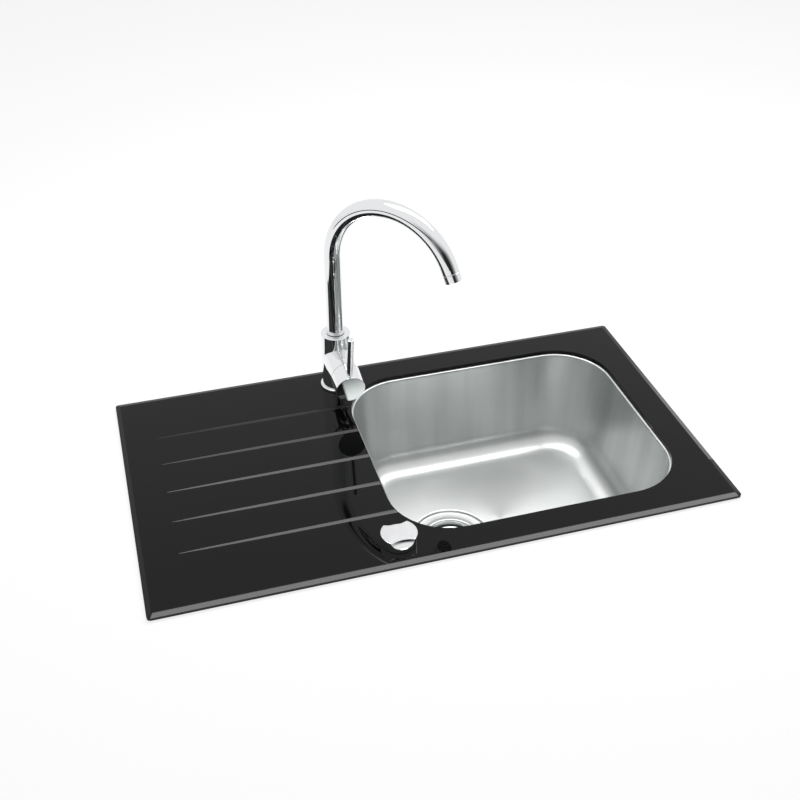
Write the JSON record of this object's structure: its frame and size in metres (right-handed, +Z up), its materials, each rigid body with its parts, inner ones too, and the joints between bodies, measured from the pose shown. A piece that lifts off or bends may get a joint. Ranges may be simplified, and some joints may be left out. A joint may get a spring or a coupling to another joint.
{
  "type": "kitchen sink",
  "caption": "Inset kitchen sink: black glass top with a grooved drainer, undermounted steel bowl, swan-neck mixer tap, knob-operated basket waste and rim clamps.",
  "frame": {"origin": "middle of the sink top in plan, on the plane of the worktop's upper surface, which is the underside of the rim seal", "axes": "+X along the sink's length, from the drainer to the bowl; +Y to the back, where the tap stands; +Z up"},
  "size_m": [0.9, 0.5, 0.6785],
  "materials": {
    "black_glass": "polished black toughened glass with ground edges",
    "brushed_steel": "satin brushed stainless steel",
    "polished_steel": "polished stainless steel",
    "chrome": "bright chrome plate",
    "zinc_plate": "zinc-plated steel",
    "brass": "turned brass",
    "channel_aluminium": "mill-finish aluminium",
    "black_rubber": "black rubber",
    "grey_foam": "closed-cell foam",
    "adhesive": "cured silicone",
    "damping_pad": "bitumen-like sound-deadening sheet",
    "black_plastic": "moulded black plastic",
    "grey_plastic": "moulded grey plastic",
    "white_plastic": "moulded white plastic",
    "ceramic": "lapped white ceramic"
  },
  "bodies": {
    "sink": {"glass_top": "black_glass", "steel_bowl": "brushed_steel", "bowl_bond": "adhesive", "rim_seal": "grey_foam", "clip_channels": "channel_aluminium", "channel_nuts": "zinc_plate", "clamp_clips": "zinc_plate", "clip_screws": "zinc_plate", "wall_damping_pads": "damping_pad", "floor_damping_pad": "damping_pad", "cup_seal": "black_rubber", "waste_cup": "polished_steel", "waste_bolt": "polished_steel", "waste_body_seal": "black_rubber", "waste_body": "white_plastic", "waste_cable_gland": "grey_plastic", "knob_seal": "black_rubber", "knob_housing": "black_plastic", "knob_washer": "zinc_plate", "knob_nut": "white_plastic", "drum_case": "grey_plastic", "drum_case_lid": "grey_plastic", "knob_cable_gland": "grey_plastic", "tap_base_seal": "black_rubber", "tap_base_ring": "chrome", "tap_body": "chrome", "spout_slip_ring": "black_plastic", "spout_stop_screw": "zinc_plate", "cartridge_seals": "black_rubber", "cartridge_body": "grey_plastic", "fixed_ceramic_disc": "ceramic", "cartridge_nut": "brass", "cartridge_cover": "chrome", "tap_stud": "zinc_plate", "tap_clamp_gasket": "black_rubber", "tap_clamp_plate": "zinc_plate", "stud_nut": "brass"},
    "spout": {"spout_tube": "chrome", "spout_foot": "chrome", "spout_o_rings": "black_rubber", "aerator_shell": "chrome", "aerator_insert": "white_plastic", "aerator_seal": "black_rubber"},
    "lever_base": {"cartridge_collar": "white_plastic", "stem_pivot_pin": "polished_steel"},
    "lever": {"cartridge_stem": "brass", "lever_cap": "chrome", "lever_pin": "chrome", "lever_grub_screw": "zinc_plate"},
    "mixing_disc": {"moving_ceramic_disc": "ceramic", "disc_carrier": "grey_plastic"},
    "knob": {"pop_up_knob": "chrome", "knob_spindle": "brass", "cable_drum": "white_plastic", "drum_screw": "zinc_plate"},
    "plug": {"basket_plug": "polished_steel", "plug_seal": "black_rubber", "lifter_pin": "polished_steel"}
  },
  "joints": [
    {"name": "spout_swivel", "type": "hinge", "parent": "sink", "child": "spout", "pos_m": [-0.075, 0.2045, 0.117], "axis": [0, 0, 1], "range_deg": [-180, 180]},
    {"name": "lever_turn", "type": "hinge", "parent": "sink", "child": "lever_base", "pos_m": [-0.075, 0.138, 0.069], "axis": [0, -1, 0], "range_deg": [-45, 45]},
    {"name": "lever_lift", "type": "hinge", "parent": "lever_base", "child": "lever", "pos_m": [-0.075, 0.138, 0.069], "axis": [1, 0, 0], "range_deg": [0, 20]},
    {"name": "disc_slide", "type": "slide", "parent": "lever_base", "child": "mixing_disc", "axis": [0, 0, 1], "range_m": [0, 0.0049]},
    {"name": "knob_turn", "type": "hinge", "parent": "sink", "child": "knob", "pos_m": [-0.082, -0.201, 0.01], "axis": [0, 0, 1], "range_deg": [0, 90]},
    {"name": "plug_lift", "type": "slide", "parent": "sink", "child": "plug", "axis": [0, 0, 1], "range_m": [0, 0.0091]}
  ],
  "couplings": [
    {"joint": "disc_slide", "follows": "lever_lift", "m_per_rad": 0.014},
    {"joint": "plug_lift", "follows": "knob_turn", "m_per_rad": 0.0057296}
  ]
}
